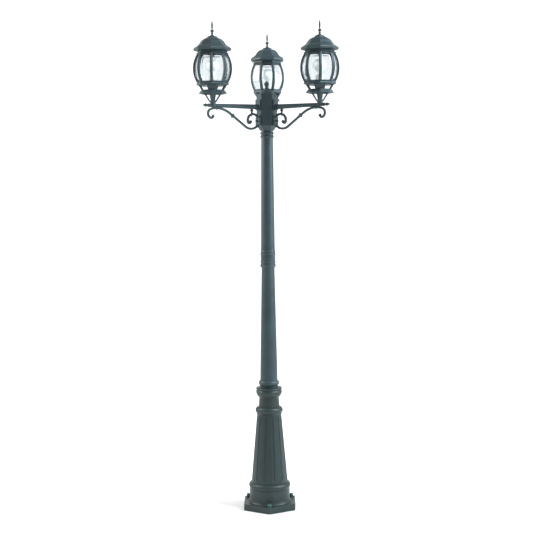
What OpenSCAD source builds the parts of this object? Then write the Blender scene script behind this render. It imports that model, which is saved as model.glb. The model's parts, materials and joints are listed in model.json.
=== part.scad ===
// Garden lamp post: cast base, two tapered poles, hexagonal hub, three scrolled arms with octagonal lanterns.
// Millimetres, +Z up. The origin is the middle of the foot at ground level, and the hub's bare face is at -Y.

/* [Base] */
// Width of the hexagonal foot across its corners
foot_w = 281; // [272:1:300]
// Height of the foot's rim
foot_h = 31; // [24:1:40]
// Diameter of the circle through the anchor bolts
anchor_circle = 240; // [236:1:246]
// Diameter of the anchor bolts
anchor_d = 12; // [10:1:14]
// Diameter of the drum above the foot
drum_d = 192; // [184:1:196]
// Height of the drum
drum_h = 60; // [45:1:80]
// How far the drum flares where it meets the foot
drum_flare = 7; // [3:1:8]
// Diameter of the bead under the flutes
lower_bead_d = 199; // [194:1:204]
// Height of the bead under the flutes
lower_bead_h = 34; // [26:1:38]
// Diameter of the fluted taper at its lower end
taper_bottom_d = 173; // [165:1:178]
// Diameter of the fluted taper at its upper end
taper_top_d = 115.5; // [112:0.5:125]
// Height of the fluted taper
taper_h = 329; // [260:1:400]
// Number of flutes
flute_count = 12; // [10:1:18]
// Depth of each flute
flute_depth = 3; // [2:0.5:3.5]
// Diameter of the bead over the flutes
upper_bead_d = 131; // [126:1:136]
// Height of the bead over the flutes
upper_bead_h = 34; // [28:1:38]
// Diameter of the neck under the crown
neck_d = 96; // [94:1:100]
// Height of the neck under the crown
neck_h = 43; // [30:1:60]
// Diameter of the crown that holds the pole
crown_d = 124; // [118:1:130]
// Height of the crown that holds the pole
crown_h = 49; // [44:1:60]
// Wall of the base casting
base_wall = 8; // [7:0.5:9]

/* [Poles] */
// Diameter of the lower pole above its bead
lower_pole_bottom_d = 82.8; // [80:0.2:86]
// Diameter of the lower pole under the coupling
lower_pole_top_d = 61.5; // [60:0.5:66]
// Length of the lower pole between crown and coupling
lower_pole_h = 571; // [400:1:800]
// Diameter of the bead at the foot of the lower pole
pole_bead_d = 98; // [92:1:106]
// Height of the bead at the foot of the lower pole
pole_bead_h = 29; // [22:1:32]
// How deep the lower pole stands in the base
pole_seat_h = 50; // [40:1:60]
// Diameter of the pole's end inside the base
pole_seat_d = 75.4; // [72:0.2:76]
// Height of the coupling
coupling_h = 85; // [80:1:100]
// Diameter of the coupling between its beads
coupling_d = 68.6; // [67:0.2:71]
// Length of each pole end inside the coupling
joint_h = 41; // [32:1:42]
// Diameter of each pole end inside the coupling
joint_d = 52; // [48:0.5:54]
// Diameter of the upper pole over the coupling
upper_pole_bottom_d = 66; // [62:0.5:67]
// Diameter of the upper pole under the neck collar
upper_pole_top_d = 56; // [54:0.5:58]
// Length of the upper pole between coupling and neck collar
upper_pole_h = 525; // [400:1:800]
// Wall of the poles
pole_wall = 4; // [3:0.5:5]

/* [Hub] */
// Height of the neck collar under the hub
collar_h = 35; // [32:1:44]
// Diameter of the two rings on the neck collar
collar_ring_d = 65.5; // [62:0.5:69]
// Width of the hub across its corners
hub_w = 97; // [94:0.5:102]
// Height of the hub's straight part
hub_h = 141.6; // [136:0.1:160]
// Height of the taper under the hub
hub_taper_h = 23; // [18:1:30]
// Wall of the wiring chamber
hub_wall = 5; // [4:0.5:6]
// Depth of the wiring chamber
chamber_h = 104; // [98:1:112]
// Diameter of the pole end inside the hub
hub_joint_d = 47; // [44:0.5:48]
// Depth of the arm's middle line under the hub's top
arm_drop = 54.6; // [48:0.1:60]
// Height of the cap's dome over the hub
cap_dome_h = 22; // [16:1:28]

/* [Arms] */
// Distance from the post's axis to each lantern's axis
lantern_reach = 282; // [270:1:320]
// Height of the arm where it leaves its flange
arm_root_h = 23; // [20:0.5:25]
// Height of the arm at its outer end
arm_tip_h = 15; // [14:0.5:17]
// Distance from the lantern's axis to the outer end of the arm
arm_overhang = 21; // [19:1:26]
// Length of the spear tip
spear_h = 33; // [26:1:42]
// Width of the flanges on the hub
flange_w = 42; // [40:1:46]
// Thickness of the flanges on the hub
flange_t = 8; // [7:0.5:10]
// Height of the arm's flange
arm_flange_h = 49; // [46:1:54]
// Height of the scroll's flange
scroll_flange_h = 42; // [40:1:44]
// Thickness of the scroll bars, seen from the side
scroll_t = 10.5; // [9:0.5:11.5]
// Width of the scroll bars across the arm
scroll_w = 14; // [12:0.5:16]
// Radius of the scroll's lower loop
loop_r = 47; // [44:1:49]
// Radius of the scroll's long upper bend
sweep_r = 113; // [108:1:116]
// Radius of the curl at the outer end
curl_r = 21.7; // [20:0.1:23]
// Radius of the inner C scroll
inner_scroll_r = 28; // [26:0.5:29]
// Diameter of the ball that ends each scroll
ball_d = 14.5; // [13:0.5:16]

/* [Lantern] */
// Width of the lantern across its corners at the fullest height
cage_w = 180; // [174:1:186]
// Width of the cage across its corners at top and bottom
cage_end_w = 141; // [138:1:146]
// Height of the cage
cage_h = 134; // [130:1:150]
// Width of the rim on top of the cage across its corners
rim_w = 151; // [146:1:156]
// Width of each rib
rib_w = 13; // [11:0.5:15]
// Depth of each rib
rib_depth = 6; // [5:0.5:7]
// Thickness of the panes
pane_t = 3; // [2.5:0.5:4]
// Width of the tray across its corners
tray_w = 151; // [148:1:160]
// Thickness of the tray
tray_h = 11; // [8:0.5:12]
// Height of the stand between arm and tray
stand_h = 76; // [68:1:82]
// Diameter of the stand's stem under the tray
stem_top_d = 54; // [50:1:58]
// Width of the crown ring across its lower corners
ring_w = 133; // [124:1:136]
// Height of the crown ring
ring_h = 16.5; // [12:0.5:18]
// Height of the frieze under the eaves
frieze_h = 8; // [6:0.5:12]
// Width of the eaves across their corners
eave_w = 176; // [166:1:180]
// Height of the roof from eaves to cap
roof_h = 59; // [53:1:64]
// Width of the roof's cap across its corners
roof_cap_w = 52; // [50:1:58]
// Wall of the roof
roof_wall = 3; // [2.5:0.5:4]
// Height of the spire finial
finial_h = 71; // [60:1:84]
// Diameter of the bulb's globe
bulb_d = 60; // [55:1:66]
// Height of the bulb's glass
bulb_h = 75; // [70:1:84]
// Diameter of the bulb's screw cap
bulb_cap_d = 26.4; // [26:0.1:27]

/* [Fits] */
// Clearance all round where one casting slides into another
fit_gap = 0.3; // [0.2:0.05:0.4]
// Clearance all round a screw or pipe in its hole
hole_gap = 0.25; // [0.2:0.05:0.4]
// Clearance between each cage and the roof that rests on it
roof_gap = 0.2; // [0.1:0.05:0.4]
// Diameter of the screws in flanges and couplings
screw_d = 5; // [4:0.5:6]

/* [Hidden] */
$fn = 64;
paint = "#4b5a57";
fixing = "#3f4c49";
bare_metal = "#b9c0bf";
brass = "#b8964e";

// Directions of the arms, and how far each lantern is turned so that left and right show a rib to the front
left = [210, 0];
right = [330, 0];
rear = [90, 22.5];
lanterns = [left, right, rear];
corner = 22.5;

// Levels of the base
bead_z = foot_h + drum_h;
taper_z = bead_z + lower_bead_h;
upper_bead_z = taper_z + taper_h;
neck_z = upper_bead_z + upper_bead_h;
crown_z = neck_z + neck_h;
base_h = crown_z + crown_h;
foot_web = 10;
foot_flat_r = foot_w / 2 * cos(30);
anchor_hole_d = anchor_d + 1;
anchor_angles = [30, 150, 270];
washer_d = 2 * anchor_d;
washer_t = 2.5;
nut_w = 1.74 * anchor_d;
nut_h = anchor_d;
socket_d = pole_seat_d + 2 * fit_gap;

// Levels of the poles and the hub
coupling_z = base_h + lower_pole_h;
upper_pole_z = coupling_z + coupling_h;
collar_z = upper_pole_z + upper_pole_h;
hub_z = collar_z + collar_h;
prism_z = hub_z + hub_taper_h;
hub_top = prism_z + hub_h;
chamber_z = hub_top - chamber_h;
hub_r = hub_w / 2;
hub_flat_r = hub_r * cos(30);
arm_z = hub_top - arm_drop;
pole_end_z = chamber_z - 6;
bead_foot_h = 7;

// Arms, measured from the post's axis and the arm's middle line
flange_face = hub_flat_r + flange_t;
arm_end = lantern_reach + arm_overhang;
arm_flange_z = -15;
scroll_flange_z = prism_z - arm_z;
flange_screw_y = 0.32 * flange_w;
arm_screw_z = arm_flange_z + 0.8 * arm_flange_h;
scroll_screw_z = scroll_flange_z + scroll_flange_h / 2;
screw_head_d = 1.8 * screw_d;
screw_head_h = 0.6 * screw_d;
wireway_d = 9;
nipple_d = 10;
nipple_bore_d = 7;
lead_d = 3.6;
cable_d = 10;
connector_x = hub_flat_r - hub_wall - 9;
connector_h = 20;
connector_z = chamber_z - arm_z;

// Scroll bracket: middle lines of its bars
loop_c = [hub_flat_r + 44, scroll_flange_z + 32];
sweep_c = [lantern_reach - 20, -sweep_r - 12];
inner_c = [hub_flat_r + 32, scroll_flange_z + 25];
rise = asin((loop_r + sweep_r) / norm(sweep_c - loop_c)) - atan2(loop_c.y - sweep_c.y, sweep_c.x - loop_c.x);
rise_start = loop_c + loop_r * [sin(rise), -cos(rise)];
rise_end = sweep_c + sweep_r * [-sin(rise), cos(rise)];
bar_lap = 1.5;
curl_angle = 75;
curl_c = sweep_c + (sweep_r - curl_r) * [cos(curl_angle), sin(curl_angle)];
curl_tail_angle = -65;
curl_tail_r = 9;
curl_tail_c = curl_c + (curl_r - curl_tail_r) * [cos(curl_tail_angle), sin(curl_tail_angle)];
inner_tail_angle = -20;
inner_tail_r = 7;
inner_tail_c = inner_c + (inner_scroll_r - inner_tail_r) * [cos(inner_tail_angle), sin(inner_tail_angle)];
baluster_x = inner_c.x + 6.6;
scroll_screw_x = sweep_c.x;

// Levels of a lantern over the arm's middle line
seat_z = 12;
tray_z = seat_z + stand_h;
cage_z = tray_z + tray_h;
cage_top = cage_z + cage_h;
rim_h = 7.5;
rim_z = cage_top - 4.5;
roof_seat = rim_z + rim_h + roof_gap;
roof_z = roof_seat + frieze_h;
roof_top = roof_z + roof_h;
roof_cap_h = 7;
eave_h = 18;
finial_z = roof_top + roof_cap_h;
ring_z = seat_z + 0.525 * stand_h;
rail_h = 6.5;
end_ring_h = 6;
end_ring_r = cage_end_w / 2 - 13;
frieze_r = rim_w / 2 - 8.5;
lip_h = 10;

// The cage's outer face is part of a level cylinder across each side
bulge = (cage_w - cage_end_w) / 2 * cos(corner);
bulge_r = ((cage_h / 2) ^ 2 + bulge ^ 2) / (2 * bulge);
bulge_x = cage_w / 2 * cos(corner) - bulge_r;
pane_r = bulge_r - rib_depth - fit_gap;

// Lampholder and bulb
holder_d = 36;
holder_h = 34;
holder_floor = 11.2;
shell_t = 0.6;
shell_d = bulb_cap_d + 2 * (fit_gap + shell_t);
bulb_z = cage_z + holder_floor + fit_gap;
bulb_cap_h = 25;
bulb_glass_z = bulb_z + bulb_cap_h - 3;

// Points on a round bend from p to q that turns by the given angle, left when it is positive
function bend(p, q, turn, n = 8) =
    let (chord = q - p, middle = (p + q) / 2)
    let (c = middle + [-chord.y, chord.x] / (2 * tan(turn / 2)), v = p - c)
    [for (i = [0:n]) let (a = turn * i / n) c + [v.x * cos(a) - v.y * sin(a), v.x * sin(a) + v.y * cos(a)]];

// Bead on a turned outline: its largest diameter, middle height and height
module bead(d, z, h) {
    translate([(d - h) / 2, z]) circle(d = h);
}

// Flat outline with an axis along Y becomes a turned solid
module turned() {
    rotate_extrude() children();
}

// Copies of an arm's part in the three directions, at the height of the arms
module on_arm(lantern) {
    translate([0, 0, arm_z]) rotate(lantern[0]) children();
}

// A lantern's part in its place over the arm
module on_lantern(lantern) {
    on_arm(lantern) translate([lantern_reach, 0, 0]) rotate(lantern[1] - lantern[0]) children();
}

// Outline in X and Z, pushed out to both sides of the XZ plane
module across(width) {
    translate([0, width / 2, 0]) rotate([90, 0, 0]) linear_extrude(width) children();
}

// Straight-sided plate against the hub: its lower edge, height and the bevel of its corners
module flange(z, h) {
    bevel = 3;
    w = flange_w / 2;
    translate([hub_flat_r, 0, 0]) rotate([90, 0, 90]) linear_extrude(flange_t) polygon([
        [-w + bevel, z], [w - bevel, z], [w, z + bevel], [w, z + h - bevel],
        [w - bevel, z + h], [-w + bevel, z + h], [-w, z + h - bevel], [-w, z + bevel]
    ]);
}

// Holes for the two screws of a flange
module flange_holes(z) {
    for (side = [-1, 1])
        translate([hub_flat_r - 10, side * flange_screw_y, z])
            rotate([0, 90, 0]) cylinder(d = screw_d + 2 * hole_gap, h = 12 + flange_t);
}

// Pan-head screw along +Z: its head stands on z = 0, its shank points down
module screw(length) {
    translate([0, 0, -length]) cylinder(d = screw_d, h = length + 0.5);
    intersection() {
        cylinder(d = screw_head_d, h = screw_head_h);
        translate([0, 0, screw_head_h - screw_head_d]) sphere(r = screw_head_d);
    }
}

// Outside of the base above the foot
module base_outline() {
    drum_r = drum_d / 2;
    neck_r = neck_d / 2;
    crown_r = crown_d / 2;
    crown_rim_h = 17;
    lip_h = 12;
    lip_step = 3;
    polygon(concat(
        [[0, foot_h - 5], [drum_r + drum_flare, foot_h - 5]],
        bend([drum_r + drum_flare, foot_h], [drum_r, foot_h + drum_h / 3], -36),
        [[drum_r, bead_z], [drum_r - 1, bead_z + lower_bead_h / 3]],
        [[taper_bottom_d / 2, bead_z + lower_bead_h / 3]],
        [[taper_bottom_d / 2, taper_z], [taper_top_d / 2, upper_bead_z]],
        [[taper_top_d / 2, upper_bead_z + upper_bead_h / 3], [neck_r + 2, upper_bead_z + upper_bead_h / 3]],
        [[neck_r + 2, neck_z]],
        [[neck_r - 1, crown_z]],
        bend([neck_r, crown_z + 2], [crown_r, base_h - crown_rim_h], 50),
        [[crown_r - lip_step, base_h - lip_h], [crown_r - lip_step, base_h], [0, base_h]]
    ));
    bead(crown_d, base_h - lip_h / 2, lip_h);
    bead(taper_top_d + 6, upper_bead_z + 1, 6);
    bead(lower_bead_d, bead_z + lower_bead_h / 2, lower_bead_h);
    bead(upper_bead_d, upper_bead_z + upper_bead_h / 2, upper_bead_h);
}

// Hollow of the base, from under the foot's web up to the socket of the pole
module base_hollow_outline() {
    low_z = foot_h - foot_web - 1;
    polygon([
        [0, low_z], [drum_d / 2 - base_wall, low_z], [drum_d / 2 - base_wall, bead_z - 10],
        [taper_bottom_d / 2 - base_wall, taper_z], [taper_top_d / 2 - base_wall, upper_bead_z - 18],
        [neck_d / 2 - base_wall, upper_bead_z + 4], [socket_d / 2, neck_z],
        [socket_d / 2, base_h + 1], [0, base_h + 1]
    ]);
}

// Round-ended cutter of one flute, lying along the taper
module flute() {
    low_r = 8.5;
    high_r = 6.5;
    low_z = taper_z + 20;
    high_z = upper_bead_z - 14;
    slope = (taper_bottom_d - taper_top_d) / 2 / taper_h;
    low_x = taper_bottom_d / 2 - slope * (low_z - taper_z) + low_r - flute_depth;
    high_x = taper_bottom_d / 2 - slope * (high_z - taper_z) + high_r - flute_depth;
    length = norm([low_x - high_x, high_z - low_z]);
    translate([low_x, 0, low_z]) rotate([0, -atan2(low_x - high_x, high_z - low_z), 0]) turned()
        polygon(concat(
            bend([0, -low_r], [low_r, 0], 90, 5),
            bend([high_r, length], [0, length + high_r], 90, 5)
        ));
}

module at_anchors() {
    for (a = anchor_angles) rotate(a) translate([anchor_circle / 2, 0, 0]) children();
}

module base_casting() {
    boss_d = 28;
    color(paint) difference() {
        union() {
            difference() {
                rotate(30) cylinder(d = foot_w, h = foot_h, $fn = 6);
                translate([0, 0, -1]) rotate(30)
                    cylinder(r = (foot_flat_r - base_wall) / cos(30), h = foot_h - foot_web + 1, $fn = 6);
            }
            at_anchors() cylinder(d = boss_d, h = foot_h - 1);
            difference() {
                turned() base_outline();
                for (i = [0:flute_count - 1]) rotate(360 * (i + 0.5) / flute_count) flute();
            }
        }
        turned() base_hollow_outline();
        at_anchors() translate([0, 0, -1]) cylinder(d = anchor_hole_d, h = foot_h + 2);
    }
}

module anchor_washers() {
    color(fixing) at_anchors() translate([0, 0, foot_h]) difference() {
        cylinder(d = washer_d, h = washer_t);
        translate([0, 0, -1]) cylinder(d = anchor_hole_d, h = washer_t + 2);
    }
}

// Hexagon nuts whose upper corners are turned off
module anchor_nuts() {
    color(fixing) at_anchors() translate([0, 0, foot_h + washer_t]) difference() {
        intersection() {
            cylinder(d = nut_w, h = nut_h, $fn = 6);
            translate([0, 0, nut_h - 1.05 * nut_w]) sphere(r = 1.13 * nut_w);
        }
        translate([0, 0, -1]) cylinder(d = anchor_d + 0.2, h = nut_h + 2);
    }
}

module lower_pole() {
    seat_r = pole_seat_d / 2;
    bead_top = base_h + bead_foot_h + pole_bead_h;
    foot_r = pole_bead_d / 2 - 7;
    color(paint) turned() difference() {
        union() {
            polygon([
                [0, base_h - pole_seat_h], [seat_r, base_h - pole_seat_h], [seat_r, base_h], [foot_r, base_h],
                [foot_r, bead_top - 10], [lower_pole_bottom_d / 2, bead_top - 1],
                [lower_pole_top_d / 2, coupling_z], [joint_d / 2, coupling_z],
                [joint_d / 2, coupling_z + joint_h], [0, coupling_z + joint_h]
            ]);
            bead(pole_bead_d, bead_top - pole_bead_h / 2, pole_bead_h);
        }
        polygon([
            [0, base_h - pole_seat_h - 1], [seat_r - pole_wall, base_h - pole_seat_h - 1],
            [seat_r - pole_wall, bead_top], [lower_pole_top_d / 2 - pole_wall, coupling_z - 30],
            [joint_d / 2 - pole_wall, coupling_z - 15],
            [joint_d / 2 - pole_wall, coupling_z + joint_h + 1], [0, coupling_z + joint_h + 1]
        ]);
    }
}

// Places of the two grub screws of the coupling
module at_coupling_screws() {
    for (z = [coupling_z + joint_h - screw_d, upper_pole_z - joint_h + screw_d])
        translate([0, 0, z]) rotate([-90, 0, 0]) children();
}

module pole_coupling() {
    body_r = coupling_d / 2;
    end_h = 5;
    rings = [[6.4, 11.5, 11], [4.9, 27, 9], [4.9, coupling_h - 20.5, 9], [1.8, coupling_h - 7, 7]];
    color(paint) difference() {
        turned() translate([0, coupling_z]) {
            polygon([
                [0, 0], [lower_pole_top_d / 2 + 1, 0], [body_r, end_h], [body_r, coupling_h - end_h],
                [upper_pole_bottom_d / 2 + 0.5, coupling_h], [0, coupling_h]
            ]);
            for (ring = rings) bead(coupling_d + ring[0], ring[1], ring[2]);
        }
        translate([0, 0, coupling_z - 1]) cylinder(d = joint_d + 2 * fit_gap, h = coupling_h + 2);
        at_coupling_screws() cylinder(d = screw_d + 2 * hole_gap, h = coupling_d);
    }
}

module upper_pole() {
    end_r = hub_joint_d / 2;
    color(paint) turned() difference() {
        polygon([
            [0, upper_pole_z - joint_h], [joint_d / 2, upper_pole_z - joint_h], [joint_d / 2, upper_pole_z],
            [upper_pole_bottom_d / 2, upper_pole_z], [upper_pole_top_d / 2, collar_z],
            [end_r, collar_z], [end_r, pole_end_z], [0, pole_end_z]
        ]);
        polygon([
            [0, upper_pole_z - joint_h - 1], [joint_d / 2 - pole_wall, upper_pole_z - joint_h - 1],
            [joint_d / 2 - pole_wall, upper_pole_z + 30], [end_r - pole_wall, collar_z - 20],
            [end_r - pole_wall, pole_end_z + 1], [0, pole_end_z + 1]
        ]);
    }
}

module neck_collar() {
    ring_h = 12;
    throat_d = 55;
    color(paint) difference() {
        turned() translate([0, collar_z]) {
            polygon([
                [0, 0], [upper_pole_top_d / 2 + 0.5, 0], [throat_d / 2 + 1, collar_h / 2],
                [throat_d / 2, collar_h], [0, collar_h]
            ]);
            for (z = [0.25, 0.68]) bead(collar_ring_d, z * collar_h, ring_h);
        }
        translate([0, 0, collar_z - 1]) cylinder(d = hub_joint_d + 2 * fit_gap, h = collar_h + 2);
    }
}

// Places of the two grub screws that hold the hub on the pole
module at_hub_screws() {
    for (a = [30, 150]) translate([0, 0, prism_z + 15]) rotate(a) rotate([0, 90, 0]) children();
}

// Slotted grub screws; each ends face to face on the pole
module set_screws() {
    slot_w = 1;
    module grub(from, length) {
        translate([0, 0, from]) difference() {
            cylinder(d = screw_d, h = length);
            translate([-screw_d, -slot_w / 2, length - 1.5]) cube([2 * screw_d, slot_w, 3]);
        }
    }
    color(fixing) {
        at_coupling_screws() grub(joint_d / 2 + 0.05, coupling_d / 2 - joint_d / 2);
        at_hub_screws() grub(hub_joint_d / 2 + 0.05, hub_flat_r - hub_joint_d / 2 - 1);
    }
}

module hub() {
    taper_w = 62;
    color(paint) difference() {
        union() {
            translate([0, 0, hub_z]) cylinder(d1 = taper_w, d2 = hub_w, h = hub_taper_h, $fn = 6);
            translate([0, 0, prism_z]) cylinder(d = hub_w, h = hub_h, $fn = 6);
        }
        translate([0, 0, chamber_z])
            cylinder(r = (hub_flat_r - hub_wall) / cos(30), h = chamber_h + 1, $fn = 6);
        translate([0, 0, hub_z - 1]) cylinder(d = hub_joint_d + 2 * fit_gap, h = chamber_z - hub_z + 2);
        at_hub_screws() cylinder(d = screw_d + 2 * hole_gap, h = hub_w);
        for (lantern = lanterns) on_arm(lantern) {
            flange_holes(arm_screw_z);
            flange_holes(scroll_screw_z);
            rotate([0, 90, 0]) cylinder(d = wireway_d, h = hub_w);
        }
    }
}

module hub_cap() {
    plate_h = 4;
    plug_h = 6;
    dome_r = 40;
    color(paint) translate([0, 0, hub_top]) difference() {
        union() {
            cylinder(d = hub_w + 4, h = plate_h, $fn = 6);
            translate([0, 0, -plug_h])
                cylinder(r = (hub_flat_r - hub_wall - fit_gap) / cos(30), h = plug_h + 1, $fn = 6);
            turned() polygon(concat(
                [[0, plate_h - 1], [dome_r, plate_h - 1]],
                bend([dome_r, plate_h], [10, plate_h + cap_dome_h], 46),
                [[0, plate_h + cap_dome_h]]
            ));
        }
        translate([0, 0, -plug_h - 1])
            cylinder(d = screw_d + 2 * hole_gap, h = plug_h + plate_h + cap_dome_h + 2);
    }
}

// Acorn on a ring and a waist, with the stud that stands in the cap
module hub_finial() {
    base_z = hub_top + 4 + cap_dome_h;
    stud_h = 24;
    color(paint) translate([0, 0, base_z]) {
        turned() {
            polygon(concat(
                [[0, 0], [8, 0], [7, 4], [7, 12], [7.3, 17]],
                bend([7.3, 17], [12, 25], 60),
                bend([12.4, 27], [3, 38.5], 62),
                [[1.6, 42.5], [0, 43]]
            ));
            bead(20, 8, 7);
        }
        translate([0, 0, -stud_h]) cylinder(d = screw_d, h = stud_h + 1);
    }
}

// Eight-sided tapered bar of the arm
module arm_bar() {
    translate([flange_face - 1, 0, 0]) rotate([0, 90, 0]) rotate(corner)
        cylinder(
            d1 = arm_root_h / cos(corner), d2 = arm_tip_h / cos(corner),
            h = arm_end - flange_face + 1, $fn = 8
        );
}

module arm() {
    seat_d = 26;
    hole_d = nipple_d + 0.2;
    color(paint) difference() {
        union() {
            flange(arm_flange_z, arm_flange_h);
            arm_bar();
            translate([lantern_reach, 0, -arm_tip_h / 2]) cylinder(d = seat_d, h = seat_z + arm_tip_h / 2);
            translate([arm_end - 1, 0, 0]) rotate([0, 90, 0]) turned() polygon([
                [0, 0], [arm_tip_h / 2 + 1, 0], [arm_tip_h / 2 + 1, 4], [5, 6.5], [5, 8],
                [8.2, 15], [7.4, 19], [0, spear_h + 1]
            ]);
        }
        translate([hub_flat_r - 1, 0, 0]) rotate([0, 90, 0])
            cylinder(d = wireway_d, h = lantern_reach - hub_flat_r + 4);
        translate([lantern_reach, 0, 0]) cylinder(d = hole_d, h = seat_z + 1);
        flange_holes(arm_screw_z);
        translate([scroll_screw_x, 0, -arm_root_h]) cylinder(d = screw_d + 2 * hole_gap, h = arm_root_h);
    }
}

// Cross-section of the scroll bars: a rectangle with broad bevels
module bar_section(size) {
    x = size * scroll_t / 2;
    y = size * scroll_w / 2;
    b = 0.3 * size * scroll_t;
    polygon([
        [x, y - b], [x - b, y], [b - x, y], [-x, y - b], [-x, b - y], [b - x, -y], [x - b, -y], [x, b - y]
    ]);
}

// Bent bar about a centre, from one angle to another
module bent_bar(c, r, from, to, size = 1) {
    translate([c.x, c.y, 0]) rotate(from)
        rotate_extrude(angle = to - from) translate([r, 0]) bar_section(size);
}

// Angle over which a bend lies inside the bar that it goes on from
function lap(r) = bar_lap / r * 180 / PI;

// Pointed leaf of the knot, seen from the side
module leaf(length) {
    turned() polygon(concat([[0, 0], [3.2, 0]], bend([3.2, 0], [0, length], 50, 5)));
}

// The S scroll, the C scroll and their ends, drawn flat
module scroll_bars() {
    loop_from = 180 + asin(min(1, (loop_c.y - scroll_flange_z - 3) / loop_r));
    inner_from = 180 - acos((inner_c.x - flange_face + 1) / inner_scroll_r);
    slim = 0.97;
    slimmer = 0.93;
    union() {
        union() {
            bent_bar(loop_c, loop_r, loop_from, 270 + rise);
            translate([rise_start.x, rise_start.y, 0]) rotate(rise) rotate([90, 0, 90])
                translate([0, 0, -bar_lap])
                linear_extrude(norm(rise_end - rise_start) + 2 * bar_lap) bar_section(slim);
        }
        union() {
            bent_bar(sweep_c, sweep_r, curl_angle, 90 + rise);
            union() {
                bent_bar(curl_c, curl_r, curl_tail_angle, curl_angle + lap(curl_r), slim);
                bent_bar(curl_tail_c, curl_tail_r, -180, curl_tail_angle + lap(curl_tail_r), slimmer);
            }
        }
    }
    union() {
        bent_bar(inner_c, inner_scroll_r, inner_tail_angle, inner_from);
        bent_bar(inner_tail_c, inner_tail_r, -180, inner_tail_angle + lap(inner_tail_r), slim);
    }
    translate([curl_tail_c.x - curl_tail_r, curl_tail_c.y, 0]) sphere(d = ball_d);
    translate([inner_tail_c.x - inner_tail_r, inner_tail_c.y, 0]) sphere(d = ball_d);
}

// Band with two crossing leaves, half way up the rise
module knot() {
    knot_at = rise_start + 0.82 * (rise_end - rise_start);
    band_h = 9;
    leaf_h = 12;
    translate([knot_at.x, knot_at.y, 0]) rotate(rise) {
        translate([-band_h / 2, 0, 0]) rotate([0, 90, 0]) cylinder(d = scroll_w + 3, h = band_h);
        for (side = [-1, 1]) rotate([side * 90 + 180, 0, 0]) translate([0, 0, scroll_t / 2 - 2]) leaf(leaf_h);
    }
}

// Turned baluster between arm and C scroll, with its pendant
module baluster() {
    top = 0;
    under = inner_c.y + inner_scroll_r - scroll_t / 2;
    translate([baluster_x, 0, 0]) turned() {
        polygon([
            [0, under - 11], [3.6, under + 1], [4, under + scroll_t], [5.5, under + scroll_t + 3],
            [3.8, under + scroll_t + 4.5], [3.8, top - 16], [6, top - 14], [6, top], [0, top]
        ]);
        bead(17, (under + scroll_t + 5 + top - 14) / 2, 8);
    }
}

module scroll() {
    spear_z = scroll_flange_z + scroll_flange_h / 2 + 0.6;
    color(paint) difference() {
        union() {
            flange(scroll_flange_z, scroll_flange_h);
            rotate([90, 0, 0]) {
                scroll_bars();
                knot();
            }
            baluster();
            translate([flange_face - 1, 0, spear_z]) rotate([0, 90, 0]) turned()
                polygon([[0, 0], [4.5, 0], [4.5, 2], [6.5, 6], [0, 16]]);
        }
        arm_bar();
        translate([lantern_reach, 0, -arm_tip_h / 2]) cylinder(d = 26 + 2 * fit_gap, h = arm_tip_h);
        flange_holes(scroll_screw_z);
        translate([scroll_screw_x, 0, -arm_root_h]) cylinder(d = screw_d + 2 * hole_gap, h = arm_root_h);
        translate([scroll_screw_x, 0, -12 - scroll_t / 2 - 4]) cylinder(d = screw_head_d + 1, h = 4.3);
    }
}

module flange_screws() {
    color(fixing) for (lantern = lanterns) on_arm(lantern) for (side = [-1, 1]) {
        translate([flange_face, side * flange_screw_y, arm_screw_z]) rotate([0, 90, 0])
            screw(flange_t + hub_wall + 2);
        translate([flange_face, side * flange_screw_y, scroll_screw_z]) rotate([0, 90, 0])
            screw(flange_t + hub_wall + 2);
    }
}

module scroll_screws() {
    head_z = -12 - scroll_t / 2 + 0.3;
    color(fixing) for (lantern = lanterns) on_arm(lantern)
        translate([scroll_screw_x, 0, head_z]) rotate([180, 0, 0]) screw(-wireway_d / 2 - head_z - 0.5);
}

// Round cable inside the poles, from the base up to the wiring chamber
module supply_cable() {
    low_z = foot_h + 10;
    color("#2b2b2b") translate([0, 0, low_z]) cylinder(d = cable_d, h = chamber_z + 14 - low_z);
}

module cable_grommet() {
    sleeve_d = hub_joint_d - 2 * pole_wall - 0.4;
    flange_h = 3;
    color("#303030") translate([0, 0, pole_end_z]) difference() {
        union() {
            translate([0, 0, -8]) cylinder(d = sleeve_d, h = 8 + flange_h);
            cylinder(d = hub_joint_d - 1, h = flange_h);
        }
        translate([0, 0, -9]) cylinder(d = cable_d + 0.4, h = 9 + flange_h + 1);
    }
}

module wire_connectors() {
    color("#d8a03a") for (lantern = lanterns) on_arm(lantern) translate([connector_x, 0, connector_z])
        turned() polygon([[0, 0], [4, 0], [5, 3], [7, connector_h - 4], [7, connector_h], [0, connector_h]]);
}

// One bent lead for each arm: out of its connector, along the wireway and up to the lampholder
module arm_leads() {
    bend_r = 5;
    start_z = connector_z + connector_h;
    top_z = cage_z + 7.7;
    module elbow() {
        rotate_extrude(angle = 90) translate([bend_r, 0]) circle(d = lead_d, $fn = 8);
    }
    color("#e6e2d8") for (lantern = lanterns) on_arm(lantern) {
        translate([connector_x, 0, start_z]) cylinder(d = lead_d, h = -bend_r - start_z, $fn = 8);
        translate([connector_x + bend_r, 0, -bend_r]) rotate([90, 0, 0]) rotate(90) elbow();
        translate([connector_x + bend_r, 0, 0]) rotate([0, 90, 0])
            cylinder(d = lead_d, h = lantern_reach - connector_x - 2 * bend_r, $fn = 8);
        translate([lantern_reach - bend_r, 0, bend_r]) rotate([90, 0, 0]) rotate(-90) elbow();
        translate([lantern_reach, 0, bend_r]) cylinder(d = lead_d, h = top_z - bend_r, $fn = 8);
    }
}

// Pipes that hold each lantern down and carry its lead
module lantern_nipples() {
    color(brass) for (lantern = lanterns) on_lantern(lantern) translate([0, 0, 5]) difference() {
        cylinder(d = nipple_d, h = cage_z + 2);
        translate([0, 0, -1]) cylinder(d = nipple_bore_d, h = cage_z + 4);
    }
}

module nipple_hole(z, h) {
    translate([0, 0, z]) cylinder(d = nipple_d + 2 * hole_gap, h = h);
}

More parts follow.
